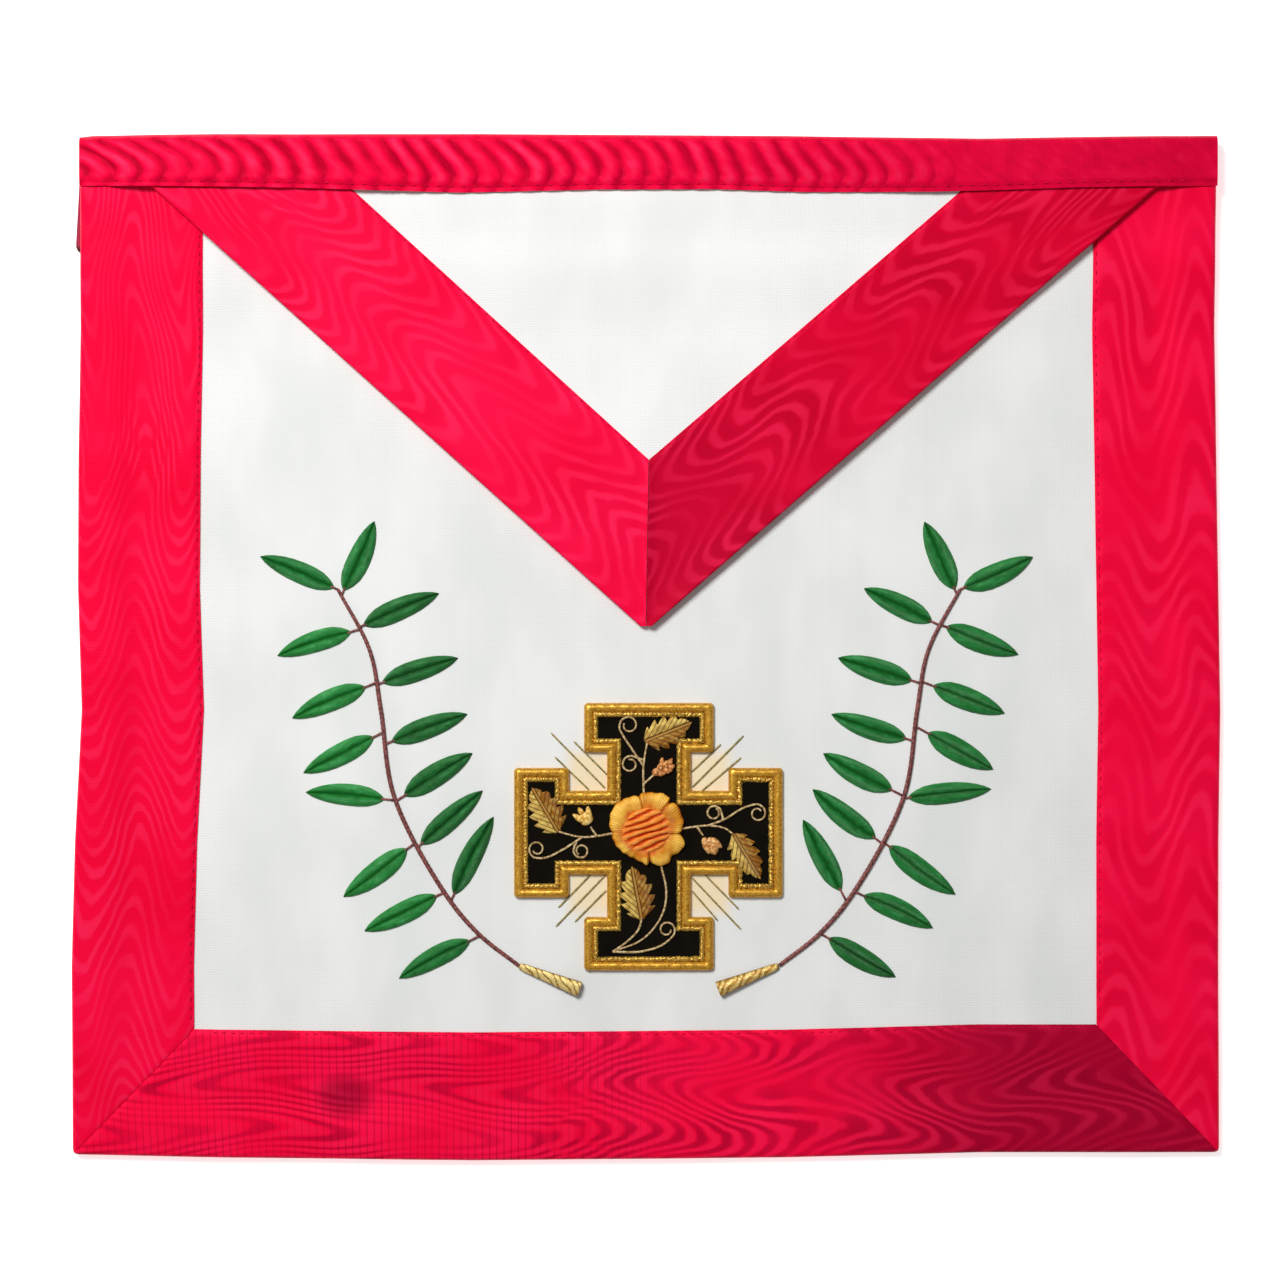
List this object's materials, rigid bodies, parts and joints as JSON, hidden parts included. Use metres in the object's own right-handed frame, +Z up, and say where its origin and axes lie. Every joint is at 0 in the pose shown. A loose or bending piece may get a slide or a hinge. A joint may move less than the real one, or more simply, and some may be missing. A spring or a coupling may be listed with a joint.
{
  "type": "masonic apron",
  "caption": "White cloth apron lying flat, edged with red watered ribbon, with a pointed flap, a waistband and raised embroidery of a cross with a rose between two branches.",
  "frame": {"origin": "under the middle of the apron, on the surface that it lies on", "axes": "+X to the right of the apron as seen from the front, +Y to its waistband, +Z up out of its decorated face"},
  "size_m": [0.4, 0.3572, 0.0108],
  "materials": {
    "red_ribbon": "watered silk ribbon, semi-gloss",
    "white_cloth": "smooth white cloth, matt",
    "strap_tape": "woven tape, matt",
    "black_velvet": "black velvet, matt",
    "gold_wire": "gold wire embroidery, bright and rough",
    "yellow_silk": "padded silk embroidery, satin",
    "orange_silk": "padded silk embroidery, satin",
    "pale_silk": "silk and gold thread embroidery, satin",
    "pink_silk": "silk thread embroidery, satin",
    "vine_thread": "twisted silk and gold thread, satin",
    "green_silk": "green satin stitch, satin",
    "brown_thread": "brown stem stitch, matt"
  },
  "bodies": {
    "root": {"apron_body": "white_cloth", "border_left": "red_ribbon", "border_right": "red_ribbon", "border_bottom": "red_ribbon", "waistband": "red_ribbon", "flap_panel": "white_cloth", "flap_ribbon_left": "red_ribbon", "flap_ribbon_right": "red_ribbon", "belt_strap": "strap_tape", "cross_ground": "black_velvet", "cross_frame": "gold_wire", "rose_petals": "yellow_silk", "rose_heart": "orange_silk", "vine_top": "vine_thread", "cross_leaf_top": "pale_silk", "vine_left": "vine_thread", "cross_leaf_left": "pale_silk", "vine_right": "vine_thread", "cross_leaf_right": "pale_silk", "vine_bottom": "vine_thread", "cross_leaf_bottom": "pale_silk", "cross_bud_top": "pink_silk", "cross_bud_left": "pale_silk", "cross_bud_right": "pink_silk", "stem_left": "brown_thread", "handle_left": "gold_wire", "leaf_left_01": "green_silk", "leaf_left_02": "green_silk", "leaf_left_03": "green_silk", "leaf_left_04": "green_silk", "leaf_left_05": "green_silk", "leaf_left_06": "green_silk", "leaf_left_07": "green_silk", "leaf_left_08": "green_silk", "leaf_left_09": "green_silk", "leaf_left_10": "green_silk", "leaf_left_11": "green_silk", "leaf_left_12": "green_silk", "leaf_left_13": "green_silk", "leaf_left_14": "green_silk", "leaf_left_15": "green_silk", "stem_right": "brown_thread", "handle_right": "gold_wire", "leaf_right_01": "green_silk", "leaf_right_02": "green_silk", "leaf_right_03": "green_silk", "leaf_right_04": "green_silk", "leaf_right_05": "green_silk", "leaf_right_06": "green_silk", "leaf_right_07": "green_silk", "leaf_right_08": "green_silk", "leaf_right_09": "green_silk", "leaf_right_10": "green_silk", "leaf_right_11": "green_silk", "leaf_right_12": "green_silk", "leaf_right_13": "green_silk", "leaf_right_14": "green_silk", "leaf_right_15": "green_silk"}
  },
  "joints": []
}
